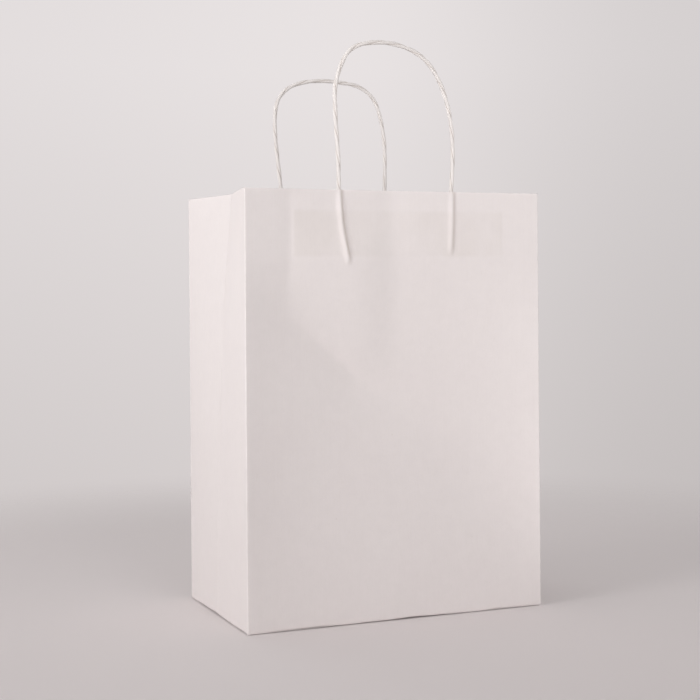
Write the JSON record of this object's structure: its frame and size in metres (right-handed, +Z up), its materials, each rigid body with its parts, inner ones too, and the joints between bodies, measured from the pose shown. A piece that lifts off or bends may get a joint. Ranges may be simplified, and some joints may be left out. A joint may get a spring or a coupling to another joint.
{
  "type": "gift bag",
  "caption": "Open paper bag for presents, with sides that fold inwards, a folded and glued base, and a twisted paper cord handle glued inside its front and its back.",
  "frame": {"origin": "on the floor, under the middle of the base", "axes": "+Z up, the front panel faces -Y, and +X is to its right seen from the front"},
  "size_m": [0.2, 0.118, 0.3601],
  "materials": {
    "white_kraft": "matt white kraft paper with a faint machine finish",
    "patch_kraft": "matt white kraft paper",
    "paper_cord": "twisted paper cord, matt with a slight sheen on the strands"
  },
  "bodies": {
    "back_and_base": {"back_panel": "white_kraft", "base_front_flap": "white_kraft", "base_rear_flap": "white_kraft", "base_left_tuck": "white_kraft", "base_right_tuck": "white_kraft", "rear_outer_patch": "patch_kraft", "rear_inner_patch": "patch_kraft", "rear_cord_left_end": "paper_cord", "rear_cord_right_end": "paper_cord"},
    "right_rear_leaf": {"right_gusset_rear": "white_kraft", "side_seam_lap": "white_kraft"},
    "right_front_leaf": {"right_gusset_front": "white_kraft"},
    "front_wall": {"front_panel": "white_kraft", "front_outer_patch": "patch_kraft", "front_inner_patch": "patch_kraft", "front_cord_left_end": "paper_cord", "front_cord_right_end": "paper_cord"},
    "left_rear_leaf": {"left_gusset_rear": "white_kraft"},
    "left_front_leaf": {"left_gusset_front": "white_kraft"},
    "front_handle": {"front_handle_cord": "paper_cord"},
    "rear_handle": {"rear_handle_cord": "paper_cord"}
  },
  "joints": [
    {"name": "wall_fold", "type": "hinge", "parent": "back_and_base", "child": "right_rear_leaf", "pos_m": [0.09982, 0.05852, 0], "axis": [0, 0, -1], "range_deg": [0, 85]},
    {"name": "right_middle_crease", "type": "hinge", "parent": "right_rear_leaf", "child": "right_front_leaf", "pos_m": [0.10015, 0, 0], "axis": [0, 0, 1], "range_deg": [0, 170]},
    {"name": "right_front_crease", "type": "hinge", "parent": "right_front_leaf", "child": "front_wall", "pos_m": [0.09982, -0.05852, 0], "axis": [0, 0, -1], "range_deg": [0, 85]},
    {"name": "left_rear_crease", "type": "hinge", "parent": "back_and_base", "child": "left_rear_leaf", "pos_m": [-0.09982, 0.05852, 0], "axis": [0, 0, 1], "range_deg": [0, 85]},
    {"name": "left_middle_crease", "type": "hinge", "parent": "left_rear_leaf", "child": "left_front_leaf", "pos_m": [-0.10015, 0, 0], "axis": [0, 0, -1], "range_deg": [0, 170]},
    {"name": "front_handle_swing", "type": "hinge", "parent": "front_wall", "child": "front_handle", "pos_m": [0, -0.05891, 0.267], "axis": [1, 0, 0], "range_deg": [-35, 175]},
    {"name": "rear_handle_swing", "type": "hinge", "parent": "back_and_base", "child": "rear_handle", "pos_m": [0, 0.05891, 0.267], "axis": [-1, 0, 0], "range_deg": [-35, 175]}
  ],
  "couplings": [
    {"joint": "right_middle_crease", "follows": "wall_fold", "ratio": 2},
    {"joint": "right_front_crease", "follows": "wall_fold", "ratio": 1},
    {"joint": "left_rear_crease", "follows": "wall_fold", "ratio": 1},
    {"joint": "left_middle_crease", "follows": "wall_fold", "ratio": 2}
  ]
}
